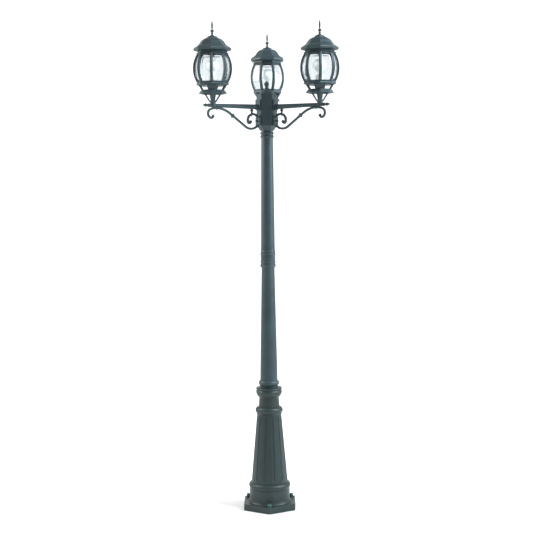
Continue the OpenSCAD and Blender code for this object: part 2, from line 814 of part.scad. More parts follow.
// Strap of the stand: a leaning bar, cut to an outline that widens above the crown ring
module strap() {
    narrow = 6;
    waist = 12;
    wide = 21;
    lap = 4;
    intersection() {
        across(2 * wide + 2) polygon([
            [8, seat_z + 1], [15, seat_z + 1], [63, tray_z], [63, tray_z + 1], [52, tray_z + 1]
        ]);
        rotate([90, 0, 90]) linear_extrude(tray_w) polygon([
            [-narrow, seat_z], [narrow, seat_z], [narrow, ring_z], [waist, ring_z + lap], [wide, tray_z],
            [-wide, tray_z], [-waist, ring_z + lap], [-narrow, ring_z]
        ]);
    }
}

// Octagonal band that flares towards its lower edge
module crown_ring() {
    band = 8;
    flare = 26;
    translate([0, 0, ring_z]) difference() {
        cylinder(d1 = ring_w, d2 = ring_w - flare, h = ring_h, $fn = 8);
        translate([0, 0, -ring_h / 2]) cylinder(
            d1 = ring_w - 2 * band + flare / 2, d2 = ring_w - 2 * band - 1.5 * flare, h = 2 * ring_h, $fn = 8
        );
    }
}

module stand() {
    color(paint) difference() {
        union() {
            turned() polygon([
                [0, seat_z], [12.8, seat_z], [12.8, seat_z + 6], [11, seat_z + 12],
                [15.5, ring_z + 4], [stem_top_d / 2, tray_z], [0, tray_z]
            ]);
            crown_ring();
            for (a = [0:90:270]) rotate(a) strap();
        }
        nipple_hole(seat_z - 1, stand_h + 2);
    }
}

module tray() {
    edge_h = 6;
    color(paint) translate([0, 0, tray_z]) difference() {
        union() {
            cylinder(d1 = tray_w - 22, d2 = tray_w - 2, h = tray_h - edge_h, $fn = 8);
            translate([0, 0, tray_h - edge_h]) cylinder(d1 = tray_w, d2 = tray_w - 3, h = edge_h, $fn = 8);
        }
        nipple_hole(-1, tray_h + 2);
    }
}

// One eighth of the plan; a positive inset moves its sides in by that distance
module eighth(inset) {
    apex = inset / sin(corner);
    reach = 200;
    polygon([[apex, 0], [apex + reach, -reach * tan(corner)], [apex + reach, reach * tan(corner)]]);
}

// The same piece on each of the eight sides
module on_sides() {
    for (i = [0:7]) rotate(corner + 45 * i) children();
}

// Outline in X and Z, as far out on all eight sides, mitred at the corners
module octagonal(width) {
    intersection() {
        rotate(corner) across(width) children();
        rotate(corner + 45) across(width) children();
        rotate(corner + 90) across(width) children();
        rotate(corner + 135) across(width) children();
    }
}

// Barrel with eight curved sides
module barrel(r, z, h) {
    octagonal(cage_w) intersection() {
        translate([bulge_x, cage_z + cage_h / 2]) circle(r = r);
        translate([-bulge_x, cage_z + cage_h / 2]) circle(r = r);
        translate([-cage_w, z]) square([2 * cage_w, h]);
    }
}

// Curved slab across one side, between two radii of the bulge
module bulged_slab(outer_r, depth, z, h) {
    across(cage_w) intersection() {
        translate([bulge_x, cage_z + cage_h / 2]) difference() {
            circle(r = outer_r);
            circle(r = outer_r - depth);
        }
        translate([0, z]) square([cage_w, h]);
    }
}

module octagon_ring(outer_r, inner_r, z, h) {
    translate([0, 0, z]) difference() {
        cylinder(r = outer_r, h = h, $fn = 8);
        translate([0, 0, -1]) cylinder(r = inner_r, h = h + 2, $fn = 8);
    }
}

// Barrel of eight ribs between two rails, with a ring inside each rail and a rim that carries the roof
module cage() {
    rim_edge = 4;
    ring_r = cage_end_w / 2 - 4;
    color(paint) {
        octagon_ring(ring_r, end_ring_r, cage_z, end_ring_h);
        difference() {
            union() {
                translate([0, 0, cage_top - end_ring_h]) cylinder(r = ring_r, h = end_ring_h, $fn = 8);
                translate([0, 0, rim_z])
                    cylinder(d1 = cage_end_w - 2, d2 = rim_w, h = rim_h - rim_edge, $fn = 8);
                translate([0, 0, rim_z + rim_h - rim_edge])
                    cylinder(d1 = rim_w, d2 = rim_w - 7, h = rim_edge, $fn = 8);
            }
            translate([0, 0, cage_top - end_ring_h - 1])
                cylinder(r = end_ring_r, h = end_ring_h + rim_h + 2, $fn = 8);
        }
        difference() {
            barrel(bulge_r, cage_z, cage_h);
            barrel(bulge_r - rib_depth, cage_z - 1, cage_h + 2);
            on_sides() translate([0, 0, cage_z + rail_h])
                linear_extrude(cage_h - 2 * rail_h) eighth(rib_w / 2);
        }
    }
}

// Eight curved panes behind the frames
module glass() {
    z = cage_z + end_ring_h + fit_gap;
    h = cage_h - 2 * (end_ring_h + fit_gap);
    color("#dfe8ea", 0.4) on_sides() intersection() {
        bulged_slab(pane_r, pane_t, z, h);
        translate([0, 0, z]) linear_extrude(h) eighth(1);
    }
}

// Half outline of the roof: rolled eave, hollow sweep, then a round shoulder under the cap
function roof_points(drop) =
    let (eave = eave_w / 2 * cos(corner) - 7, cap = 29 * cos(corner), middle = (eave + cap) / 2 + 2,
         inward = 0.67 * drop, low = roof_z + eave_h - 0.83 * drop, high = roof_top - 0.83 * drop)
    concat(
        bend([eave - inward, low], [middle - inward, (low + high) / 2], -40),
        bend([middle - inward, (low + high) / 2], [cap - inward, high], 50)
    );

// The points and their mirror image, as one closed outline
function mirrored(points) =
    concat(points, [for (i = [len(points) - 1:-1:0]) [-points[i].x, points[i].y]]);

module roof() {
    inner_r = frieze_r - 4;
    floor_t = 4;
    edge = eave_w / 2 * cos(corner);
    color(paint) difference() {
        union() {
            octagonal(eave_w) polygon(mirrored(concat(
                [[edge - 8, roof_z]], bend([edge - 4, roof_z + 1.5], [edge - 2, roof_z + 13], 80, 4),
                roof_points(0)
            )));
            translate([0, 0, roof_seat]) cylinder(r = frieze_r, h = frieze_h + 1, $fn = 8);
            translate([0, 0, roof_seat - lip_h]) cylinder(r = end_ring_r - 0.6, h = lip_h + 1, $fn = 8);
            translate([0, 0, roof_top - 1])
                cylinder(d1 = roof_cap_w, d2 = roof_cap_w - 7, h = roof_cap_h + 1, $fn = 8);
        }
        translate([0, 0, roof_seat - lip_h - 1])
            cylinder(r = end_ring_r - 4, h = lip_h + floor_t + 2, $fn = 8);
        intersection() {
            octagonal(eave_w) polygon(mirrored(concat([[edge - 2, roof_seat - 1]], roof_points(roof_wall))));
            translate([0, 0, roof_seat + floor_t]) cylinder(r = inner_r, h = frieze_h + roof_h, $fn = 8);
        }
        translate([0, 0, finial_z - 12]) cylinder(d = screw_d + 2 * hole_gap, h = 13);
    }
}

// Spire: foot, two knops and a bud that ends in a point
module finial() {
    stud_h = 9;
    bud_z = 34;
    color(paint) translate([0, 0, finial_z]) {
        turned() {
            polygon(concat(
                [[0, 0], [15, 0], [15, 2]], bend([15, 2], [4, 10], -50, 5),
                [[4, 18], [3.4, 20], [3.4, 30], [2.6, 32]],
                bend([3.2, bud_z], [1.6, finial_h - 2], 30), [[0, finial_h]]
            ));
            bead(13, 14.5, 6);
            polygon(bend([2, 19], [2, 31], 175, 10));
            bead(19, 25, 7);
        }
        translate([0, 0, -stud_h]) cylinder(d = screw_d, h = stud_h + 1);
    }
}

module lampholder() {
    foot_d = 44;
    color("#e9e6de") difference() {
        union() {
            translate([0, 0, cage_z]) cylinder(d = foot_d, h = 5);
            translate([0, 0, cage_z]) cylinder(d = holder_d, h = holder_h);
        }
        nipple_hole(cage_z - 1, 9);
        translate([0, 0, cage_z + holder_floor]) cylinder(d = shell_d + 0.4, h = holder_h);
    }
}

module socket_shells() {
    shell_h = 18;
    color(brass) for (lantern = lanterns) on_lantern(lantern)
        translate([0, 0, cage_z + holder_floor]) difference() {
            cylinder(d = shell_d, h = shell_h);
            translate([0, 0, -1]) cylinder(d = shell_d - 2 * shell_t, h = shell_h + 2);
        }
}

// Pear-shaped glass, open where it stands in its cap
module bulb() {
    glass_t = 1;
    neck_r = bulb_cap_d / 2 - 1.2;
    globe_z = bulb_h - bulb_d / 2;
    meet = 38;
    module outline(t) {
        r = bulb_d / 2 - t;
        polygon(concat(
            [[0, 0], [neck_r - t, 0], [neck_r - t, 5]],
            bend([neck_r - t, 5], [r * cos(meet), globe_z - r * sin(meet)], -26),
            bend([r * cos(meet), globe_z - r * sin(meet)], [0, globe_z + r], 90 + meet, 14)
        ));
    }
    color("#f6f4ea", 0.7) translate([0, 0, bulb_glass_z]) turned() difference() {
        outline(0);
        outline(glass_t);
        translate([0, -1]) square([neck_r - glass_t, 3]);
    }
}

module bulb_cap() {
    thread_pitch = 3.6;
    shell_r = bulb_cap_d / 2;
    tip_h = 3;
    color(bare_metal) translate([0, 0, bulb_z]) difference() {
        turned() {
            polygon([
                [0, 0], [4, 0], [8, tip_h], [shell_r - 1, tip_h + 2],
                [shell_r - 1, bulb_cap_h], [0, bulb_cap_h]
            ]);
            for (i = [0:3]) bead(bulb_cap_d, tip_h + 4.2 + i * thread_pitch, 2.6);
        }
        translate([0, 0, bulb_cap_h - 3.3]) cylinder(r = shell_r - 1.2 + 0.1, h = 5);
    }
}

base_casting();
anchor_nuts();
anchor_washers();
lower_pole();
pole_coupling();
upper_pole();
neck_collar();
set_screws();
hub();
hub_cap();
hub_finial();
flange_screws();
scroll_screws();
on_arm(left) arm();  // arm_left
on_arm(right) arm();  // arm_right
on_arm(rear) arm();  // arm_rear
on_arm(left) scroll();  // scroll_left
on_arm(right) scroll();  // scroll_right
on_arm(rear) scroll();  // scroll_rear
supply_cable();
cable_grommet();
wire_connectors();
arm_leads();
lantern_nipples();
socket_shells();
on_lantern(left) stand();  // stand_left
on_lantern(right) stand();  // stand_right
on_lantern(rear) stand();  // stand_rear
on_lantern(left) tray();  // tray_left
on_lantern(right) tray();  // tray_right
on_lantern(rear) tray();  // tray_rear
on_lantern(left) cage();  // cage_left
on_lantern(right) cage();  // cage_right
on_lantern(rear) cage();  // cage_rear
on_lantern(left) glass();  // glass_left
on_lantern(right) glass();  // glass_right
on_lantern(rear) glass();  // glass_rear
on_lantern(left) roof();  // roof_left
on_lantern(right) roof();  // roof_right
on_lantern(rear) roof();  // roof_rear
on_lantern(left) finial();  // finial_left
on_lantern(right) finial();  // finial_right
on_lantern(rear) finial();  // finial_rear
on_lantern(left) lampholder();  // lampholder_left
on_lantern(right) lampholder();  // lampholder_right
on_lantern(rear) lampholder();  // lampholder_rear
on_lantern(left) bulb();  // bulb_left
on_lantern(right) bulb();  // bulb_right
on_lantern(rear) bulb();  // bulb_rear
on_lantern(left) bulb_cap();  // bulb_cap_left
on_lantern(right) bulb_cap();  // bulb_cap_right
on_lantern(rear) bulb_cap();  // bulb_cap_rear
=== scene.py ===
import json
import math

import bpy
from bpy.props import FloatProperty, FloatVectorProperty, PointerProperty
from bpy.types import Operator, Panel, PropertyGroup
from mathutils import Euler, Matrix, Vector


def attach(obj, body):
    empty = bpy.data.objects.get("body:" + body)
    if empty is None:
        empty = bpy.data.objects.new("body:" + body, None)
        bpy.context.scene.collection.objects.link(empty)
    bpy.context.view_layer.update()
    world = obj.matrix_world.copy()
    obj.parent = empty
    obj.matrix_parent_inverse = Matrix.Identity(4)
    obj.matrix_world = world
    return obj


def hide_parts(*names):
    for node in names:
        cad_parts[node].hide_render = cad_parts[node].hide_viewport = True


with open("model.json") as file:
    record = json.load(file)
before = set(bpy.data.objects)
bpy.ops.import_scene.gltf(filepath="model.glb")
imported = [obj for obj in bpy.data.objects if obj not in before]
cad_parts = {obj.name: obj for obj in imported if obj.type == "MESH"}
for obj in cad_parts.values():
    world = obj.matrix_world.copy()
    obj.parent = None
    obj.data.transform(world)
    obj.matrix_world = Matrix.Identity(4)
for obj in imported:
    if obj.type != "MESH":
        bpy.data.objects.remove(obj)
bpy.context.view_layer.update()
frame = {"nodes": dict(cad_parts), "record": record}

bl_info = {
    "name": "Garden Lamp Post Looks",
    "version": (1, 0, 0),
    "blender": (4, 5, 0),
    "location": "3D View > Sidebar > Lamp Post",
    "description": "Paint, glass, bulbs, wiring and a studio for a lamp post with three lanterns",
    "category": "Object",
}

SIDES = ("left", "right", "rear")

# Lantern sizes in metres, as in the part; levels count up from the middle line of the arms
ARM_Z = 1.906
CAGE_Z = 0.099
CAGE_HEIGHT = 0.134
CAGE_WIDTH = 0.180
CAGE_END_WIDTH = 0.141
RIB_DEPTH = 0.006
END_RING_HEIGHT = 0.006
FIT_GAP = 0.0003
LANTERN_REACH = 0.282
PANES = 8
CORNER = math.pi / PANES
ARM_TURN = {"left": math.radians(210), "right": math.radians(330), "rear": math.radians(90)}
LANTERN_TURN = {"left": 0.0, "right": 0.0, "rear": CORNER}

# Each pane: steps of its grid between the bevels, distance of its sides from the corner planes of the
# cage, and the angle between two faces from which their edge is shaded sharp
PANE_ROWS = 14
PANE_COLUMNS = 4
PANE_SETBACK = 0.001
SHARP_EDGE = math.radians(5.5)


class PaintSettings(PropertyGroup):
    """Colours and surface of the painted castings"""

    colour: FloatVectorProperty(
        name="Paint", description="Colour of the paint", subtype="COLOR", size=3,
        default=(0.021, 0.042, 0.048), min=0.0, max=1.0,
    )
    # Darker, slightly greener copy of the post's paint for the base casting: the darkness is painted
    # shade for the weaker light at the foot of the post
    shaded_base_colour: FloatVectorProperty(
        name="Base paint", description="Colour of the paint on the base casting",
        subtype="COLOR", size=3,
        default=(0.012, 0.026, 0.025), min=0.0, max=1.0,
    )
    verdigris: FloatVectorProperty(
        name="Verdigris", description="Colour of the lighter antique glaze", subtype="COLOR", size=3,
        default=(0.044, 0.084, 0.094), min=0.0, max=1.0,
    )
    # Darker copy of the glaze for the base casting: painted shade, like the base paint above
    shaded_base_verdigris: FloatVectorProperty(
        name="Base verdigris", description="Colour of the glaze on the base casting",
        subtype="COLOR", size=3,
        default=(0.024, 0.044, 0.042), min=0.0, max=1.0,
    )
    patina: FloatVectorProperty(
        name="Patina", description="Colour of the worn spots on nuts and screws",
        subtype="COLOR", size=3,
        default=(0.09, 0.26, 0.21), min=0.0, max=1.0,
    )
    glaze: FloatProperty(
        name="Glaze", description="Share of the surface under the antique glaze", subtype="FACTOR",
        default=0.34, min=0.0, max=1.0,
    )
    roughness: FloatProperty(
        name="Roughness", description="Roughness of the paint", subtype="FACTOR",
        default=0.5, min=0.0, max=1.0,
    )
    grain: FloatProperty(
        name="Casting grain", description="Height of the grain that shows through the paint",
        subtype="DISTANCE", unit="LENGTH", default=0.0004, min=0.0, max=0.002, precision=5,
    )


class GlassSettings(PropertyGroup):
    """Panes and bulbs"""

    tint: FloatVectorProperty(
        name="Pane tint", description="Colour of the panes", subtype="COLOR", size=3,
        default=(0.79, 0.815, 0.823), min=0.0, max=1.0,
    )
    bevel_width: FloatProperty(
        name="Bevel width", description="Width of the bevelled border of each pane", subtype="DISTANCE",
        unit="LENGTH", default=0.0145, min=0.008, max=0.02, precision=4,
    )
    bevel_depth: FloatProperty(
        name="Bevel depth", description="How much thinner each pane is at its edge", subtype="DISTANCE",
        unit="LENGTH", default=0.0016, min=0.0005, max=0.002, precision=4,
    )
    pane_thickness: FloatProperty(
        name="Pane thickness", description="Thickness of the panes", subtype="DISTANCE", unit="LENGTH",
        default=0.003, min=0.0025, max=0.004, precision=4,
    )
    bulb: FloatVectorProperty(
        name="Bulb", description="Colour of the frosted bulbs", subtype="COLOR", size=3,
        default=(0.90, 0.92, 0.92), min=0.0, max=1.0,
    )
    glow: FloatProperty(
        name="Glow", description="Light that the frosted glass gives off",
        default=0.25, min=0.0, max=5.0,
    )


class StageSettings(PropertyGroup):
    """Floor, lights and camera"""

    floor: FloatVectorProperty(
        name="Floor", description="Colour of the floor and backdrop", subtype="COLOR", size=3,
        default=(0.93, 0.93, 0.93), min=0.0, max=1.0,
    )
    sky: FloatProperty(
        name="Surrounding light", description="Strength of the light from all round",
        default=0.48, min=0.0, max=3.0,
    )
    side_power: FloatProperty(
        name="Side lights", description="Power of the tall soft light on each side", unit="POWER",
        default=115.0, min=0.0, max=1000.0,
    )
    key_power: FloatProperty(
        name="Key light", description="Power of the high light on the right", unit="POWER",
        default=150.0, min=0.0, max=1000.0,
    )
    front_power: FloatProperty(
        name="Front light", description="Power of the large light over the camera", unit="POWER",
        default=3.0, min=0.0, max=1000.0,
    )
    backdrop_power: FloatProperty(
        name="Backdrop light", description="Power of the light on the backdrop behind the post",
        unit="POWER", default=175.0, min=0.0, max=1000.0,
    )
    camera_at: FloatVectorProperty(
        name="Camera", description="Place of the camera", subtype="TRANSLATION", unit="LENGTH", size=3,
        default=(0.0676, -5.1294, 1.5118),
    )
    camera_yaw: FloatProperty(
        name="Yaw", description="Turn of the camera to the left", unit="ROTATION",
        default=math.radians(0.654),
    )
    camera_pitch: FloatProperty(
        name="Pitch", description="How far the camera looks down", unit="ROTATION",
        default=math.radians(4.14),
    )
    camera_roll: FloatProperty(
        name="Roll", description="Tilt of the camera about its own axis", unit="ROTATION",
        default=math.radians(-0.434),
    )
    lens: FloatProperty(
        name="Lens", description="Focal length on a 36 mm wide sensor", unit="CAMERA",
        default=72.3, min=10.0, max=300.0,
    )


class PostSettings(PropertyGroup):
    """All settings of the lamp post's looks"""

    paint: PointerProperty(type=PaintSettings)
    glass: PointerProperty(type=GlassSettings)
    stage: PointerProperty(type=StageSettings)


def new_group(name, inputs, outputs):
    """Empty shader group with inputs (name, socket type, default) and outputs (name, socket type)."""
    group = bpy.data.node_groups.new(name, "ShaderNodeTree")
    for label, kind, default in inputs:
        socket = group.interface.new_socket(label, in_out="INPUT", socket_type=kind)
        socket.default_value = default
    for label, kind in outputs:
        group.interface.new_socket(label, in_out="OUTPUT", socket_type=kind)
    return group


def add_node(tree, kind, place, **settings):
    """Node at a place that is counted in columns and rows."""
    node = tree.nodes.new(kind)
    node.location = (200 * place[0], 200 * place[1])
    for name, value in settings.items():
        setattr(node, name, value)
    return node


def feed(tree, socket, value):
    """Links an output to an input socket, or gives the socket a plain number."""
    if isinstance(value, (int, float)):
        socket.default_value = value
    else:
        tree.links.new(value, socket)


def maths(tree, operation, place, values, clamp=False):
    """Math node on two or three values, each an output or a plain number."""
    node = add_node(tree, "ShaderNodeMath", place, operation=operation, use_clamp=clamp)
    for socket, value in zip(node.inputs, values):
        feed(tree, socket, value)
    return node.outputs["Value"]


def noise(tree, place, vector, scale, detail):
    """Noise texture on a vector; the scale is an output or a plain number."""
    node = add_node(tree, "ShaderNodeTexNoise", place)
    feed(tree, node.inputs["Vector"], vector)
    feed(tree, node.inputs["Scale"], scale)
    node.inputs["Detail"].default_value = detail
    node.inputs["Roughness"].default_value = 0.55
    return node.outputs["Fac"]


def blend_colours(tree, place, factor, first, second):
    """Colour between two others; several sockets share a name, so they are found by identifier."""
    node = add_node(tree, "ShaderNodeMix", place, data_type="RGBA")
    inputs = {socket.identifier: socket for socket in node.inputs}
    outputs = {socket.identifier: socket for socket in node.outputs}
    tree.links.new(factor, inputs["Factor_Float"])
    tree.links.new(first, inputs["A_Color"])
    tree.links.new(second, inputs["B_Color"])
    return outputs["Result_Color"]


def mottled_group():
    """Two tones in soft patches with a fine grain, for cast, moulded and glazed surfaces."""
    contrast = 3.6
    offset = -1.3
    speckle = 0.5
    roughness_range = 0.24
    group = new_group(
        "Mottled Surface",
        [
            ("Colour", "NodeSocketColor", (0.5, 0.5, 0.5, 1.0)),
            ("Patches", "NodeSocketColor", (0.6, 0.6, 0.6, 1.0)),
            ("Cover", "NodeSocketFloat", 0.3),
            ("Roughness", "NodeSocketFloat", 0.4),
            ("Patch Scale", "NodeSocketFloat", 12.0),
            ("Grain Scale", "NodeSocketFloat", 400.0),
        ],
        [("Colour", "NodeSocketColor"), ("Roughness", "NodeSocketFloat"), ("Height", "NodeSocketFloat")],
    )
    inputs = add_node(group, "NodeGroupInput", (0, 0))
    outputs = add_node(group, "NodeGroupOutput", (7, 0))
    place = add_node(group, "ShaderNodeTexCoord", (0, 2)).outputs["Object"]
    patches = noise(group, (1, 2), place, inputs.outputs["Patch Scale"], detail=5.0)
    grain = noise(group, (1, 1), place, inputs.outputs["Grain Scale"], detail=3.0)
    sharper = maths(group, "MULTIPLY_ADD", (2, 2), (patches, contrast, offset))
    speckled = maths(group, "MULTIPLY_ADD", (3, 2), (grain, speckle, sharper))
    covered = maths(group, "MULTIPLY", (4, 2), (speckled, inputs.outputs["Cover"]), clamp=True)
    colour = blend_colours(group, (5, 2), covered, inputs.outputs["Colour"], inputs.outputs["Patches"])
    spread = maths(group, "MULTIPLY_ADD", (4, 0), (patches, roughness_range, -roughness_range / 2))
    rough = maths(group, "ADD", (5, 0), (spread, inputs.outputs["Roughness"]), clamp=True)
    group.links.new(colour, outputs.inputs["Colour"])
    group.links.new(rough, outputs.inputs["Roughness"])
    group.links.new(grain, outputs.inputs["Height"])
    return group


def drawn_group():
    """Fine lines round the upright axis, for turned, drawn and plated metal."""
    sideways_stretch = 0.04
    stain_scale = 60.0
    stain_share = 0.45
    roughness_range = 0.3
    group = new_group(
        "Drawn Metal",
        [
            ("Colour", "NodeSocketColor", (0.7, 0.7, 0.7, 1.0)),
            ("Stain", "NodeSocketColor", (0.4, 0.4, 0.4, 1.0)),
            ("Roughness", "NodeSocketFloat", 0.3),
            ("Line Scale", "NodeSocketFloat", 900.0),
        ],
        [("Colour", "NodeSocketColor"), ("Roughness", "NodeSocketFloat"), ("Height", "NodeSocketFloat")],
    )
    inputs = add_node(group, "NodeGroupInput", (0, 0))
    outputs = add_node(group, "NodeGroupOutput", (6, 0))
    place = add_node(group, "ShaderNodeTexCoord", (0, 2)).outputs["Object"]
    stretch = add_node(group, "ShaderNodeMapping", (1, 2))
    stretch.inputs["Scale"].default_value = (sideways_stretch, sideways_stretch, 1.0)
    group.links.new(place, stretch.inputs["Vector"])
    lines = noise(group, (2, 2), stretch.outputs["Vector"], inputs.outputs["Line Scale"], detail=2.0)
    stains = noise(group, (2, 1), place, stain_scale, detail=4.0)
    stained = maths(group, "MULTIPLY", (3, 1), (stains, stain_share), clamp=True)
    colour = blend_colours(group, (4, 2), stained, inputs.outputs["Colour"], inputs.outputs["Stain"])
    spread = maths(group, "MULTIPLY_ADD", (3, 0), (lines, roughness_range, -roughness_range / 2))
    rough = maths(group, "ADD", (4, 0), (spread, inputs.outputs["Roughness"]), clamp=True)
    group.links.new(colour, outputs.inputs["Colour"])
    group.links.new(rough, outputs.inputs["Roughness"])
    group.links.new(lines, outputs.inputs["Height"])
    return group


def shared_group(name):
    """The named shader group, made the first time it is asked for."""
    makers = {"Mottled Surface": mottled_group, "Drawn Metal": drawn_group}
    return bpy.data.node_groups.get(name) or makers[name]()


def plain_material(name):
    """New material, its node tree and its main shader."""
    material = bpy.data.materials.new(name)
    material.use_nodes = True
    shader = material.node_tree.nodes["Principled BSDF"]
    return material, material.node_tree, shader


def add_bump(tree, shader, height, depth):
    """Gives the main shader bumps of a depth in metres."""
    bump = add_node(tree, "ShaderNodeBump", (-2, -2))
    bump.inputs["Strength"].default_value = 1.0
    bump.inputs["Distance"].default_value = depth
    tree.links.new(height, bump.inputs["Height"])
    tree.links.new(bump.outputs["Normal"], shader.inputs["Normal"])


def dress_with_group(tree, shader, group_name, values, bump_depth):
    """Puts a shared group in front of the main shader, for colour, roughness and bumps."""
    group = add_node(tree, "ShaderNodeGroup", (-4, 0), node_tree=shared_group(group_name))
    for name, value in values.items():
        socket = group.inputs[name]
        socket.default_value = (*value, 1.0) if socket.type == "RGBA" else value
    tree.links.new(group.outputs["Colour"], shader.inputs["Base Color"])
    tree.links.new(group.outputs["Roughness"], shader.inputs["Roughness"])
    add_bump(tree, shader, group.outputs["Height"], bump_depth)


def paint_material(paint, name, colour, glaze_colour):
    """Dark verdigris paint with a lighter antique glaze over cast metal."""
    material, tree, shader = plain_material(name)
    values = {
        "Colour": colour, "Patches": glaze_colour, "Cover": paint.glaze,
        "Roughness": paint.roughness, "Patch Scale": 14.0, "Grain Scale": 420.0,
    }
    dress_with_group(tree, shader, "Mottled Surface", values, bump_depth=paint.grain)
    shader.inputs["Metallic"].default_value = 0.15
    shader.inputs["Coat Weight"].default_value = 0.12
    shader.inputs["Coat Roughness"].default_value = 0.3
    return material


def fixings_material(paint):
    """Touched-up paint on nuts and screws, worn to green patina in small spots."""
    material, tree, shader = plain_material("painted_fixings")
    values = {
        "Colour": paint.colour, "Patches": paint.patina, "Cover": 0.38,
        "Roughness": paint.roughness, "Patch Scale": 90.0, "Grain Scale": 700.0,
    }
    dress_with_group(tree, shader, "Mottled Surface", values, bump_depth=0.0002)
    shader.inputs["Metallic"].default_value = 0.3
    return material


def metal_material(name, colour, stain, roughness):
    """Bare or plated metal with fine drawn lines and faint stains."""
    material, tree, shader = plain_material(name)
    values = {"Colour": colour, "Stain": stain, "Roughness": roughness, "Line Scale": 900.0}
    dress_with_group(tree, shader, "Drawn Metal", values, bump_depth=0.00004)
    shader.inputs["Metallic"].default_value = 1.0
    return material


def moulded_material(name, colour, patches, roughness, coat):
    """Porcelain, rubber or plastic: nearly even colour with a faint grain."""
    material, tree, shader = plain_material(name)
    values = {
        "Colour": colour, "Patches": patches, "Cover": 0.5,
        "Roughness": roughness, "Patch Scale": 45.0, "Grain Scale": 900.0,
    }
    dress_with_group(tree, shader, "Mottled Surface", values, bump_depth=0.00008)
    shader.inputs["Coat Weight"].default_value = coat
    shader.inputs["Coat Roughness"].default_value = 0.08
    return material


def bulb_material(glass):
    """Frosted white glass that gives off a little light."""
    material, tree, shader = plain_material("frosted_bulb")
    values = {
        "Colour": glass.bulb, "Patches": (0.82, 0.84, 0.84), "Cover": 0.3,
        "Roughness": 0.3, "Patch Scale": 30.0, "Grain Scale": 1500.0,
    }
    dress_with_group(tree, shader, "Mottled Surface", values, bump_depth=0.00003)
    shader.inputs["Coat Weight"].default_value = 0.5
    shader.inputs["Coat Roughness"].default_value = 0.12
    shader.inputs["Emission Color"].default_value = (1.0, 0.99, 0.96, 1.0)
    shader.inputs["Emission Strength"].default_value = glass.glow
    return material


def pane_material(glass):
    """Clear glass with faint streaks; it lets light through to what stands behind it."""
    material, tree, shader = plain_material("pane_glass")
    shader.inputs["Base Color"].default_value = (*glass.tint, 1.0)
    shader.inputs["Transmission Weight"].default_value = 1.0
    shader.inputs["Roughness"].default_value = 0.02
    shader.inputs["IOR"].default_value = 1.47
    place = add_node(tree, "ShaderNodeTexCoord", (-5, 0)).outputs["Object"]
    streaks = noise(tree, (-4, 0), place, scale=18.0, detail=2.0)
    add_bump(tree, shader, streaks, depth=0.0001)
    rays = add_node(tree, "ShaderNodeLightPath", (0, 3))
    clear = add_node(tree, "ShaderNodeBsdfTransparent", (1, 2))
    clear.inputs["Color"].default_value = (0.94, 0.97, 0.965, 1.0)
    through = add_node(tree, "ShaderNodeMixShader", (2, 1))
    output = tree.nodes["Material Output"]
    tree.links.new(rays.outputs["Is Shadow Ray"], through.inputs[0])
    tree.links.new(shader.outputs[0], through.inputs[1])
    tree.links.new(clear.outputs[0], through.inputs[2])
    tree.links.new(through.outputs[0], output.inputs["Surface"])
    return material


def dress(names, material):
    """Gives CAD nodes a material."""
    for name in names:
        node = frame["nodes"][name]
        for slot in node.material_slots:
            slot.link = "OBJECT"
            slot.material = material


def nodes_of_slot(slot):
    """Names of the CAD nodes with a material slot, from the record."""
    return [part["node"] for part in frame["record"]["subparts"] if part["material_slot"] == slot]


def bulge():
    """Centre distance and radius of the level cylinders that the cage's outer face follows."""
    swell = (CAGE_WIDTH - CAGE_END_WIDTH) / 2 * math.cos(CORNER)
    radius = ((CAGE_HEIGHT / 2) ** 2 + swell ** 2) / (2 * swell)
    return CAGE_WIDTH / 2 * math.cos(CORNER) - radius, radius


def graded(low, high, border, steps):
    """Positions from edge to edge: the two edges, and even steps between two borders."""
    inner_width = high - low - 2 * border
    inner = [low + border + inner_width * i / steps for i in range(steps + 1)]
    return [low, *inner, high]


def pane_points(glass, side_turn, outer):
    """Grid of points of one pane's outer or inner face, in the lantern's own frame."""
    centre, radius = bulge()
    depth = 0.0 if outer else glass.pane_thickness
    face_radius = radius - RIB_DEPTH - FIT_GAP - depth
    low = END_RING_HEIGHT + FIT_GAP
    rows = graded(low, CAGE_HEIGHT - low, glass.bevel_width, PANE_ROWS)
    setback = PANE_SETBACK / math.sin(CORNER)
    turn = Matrix.Rotation(side_turn, 3, "Z")
    points = []
    for z in rows:
        reach = centre + math.sqrt(face_radius ** 2 - (z - CAGE_HEIGHT / 2) ** 2)
        half_width = (reach - setback) * math.tan(CORNER)
        columns = graded(-half_width, half_width, glass.bevel_width, PANE_COLUMNS)
        line = []
        for y in columns:
            at_edge = z in (rows[0], rows[-1]) or y in (columns[0], columns[-1])
            drop = glass.bevel_depth if outer and at_edge else 0.0
            narrower = 1 - drop * math.tan(CORNER) / half_width
            line.append(turn @ Vector((reach - drop, y * narrower, z)))
        points.append(line)
    return points


def grid_rim(rows, columns):
    """Rows and columns of the outermost points of a grid, once round."""
    rim = [(0, column) for column in range(columns)]
    rim += [(row, columns - 1) for row in range(1, rows)]
    rim += [(rows - 1, column) for column in range(columns - 2, -1, -1)]
    rim += [(row, 0) for row in range(rows - 2, 0, -1)]
    return rim


def slab_faces(first, rows, columns):
    """Faces of a slab: its outer grid of points is numbered from the first one, then its inner grid."""

    def outer(row, column):
        return first + row * columns + column

    def inner(row, column):
        return outer(row, column) + rows * columns

    faces = []
    for row in range(rows - 1):
        for column in range(columns - 1):
            corners = [(row, column), (row, column + 1), (row + 1, column + 1), (row + 1, column)]
            faces.append([outer(*corner) for corner in corners])
            faces.append([inner(*corner) for corner in reversed(corners)])
    rim = grid_rim(rows, columns)
    for here, there in zip(rim, rim[1:] + rim[:1]):
        faces.append([outer(*there), outer(*here), inner(*here), inner(*there)])
    return faces


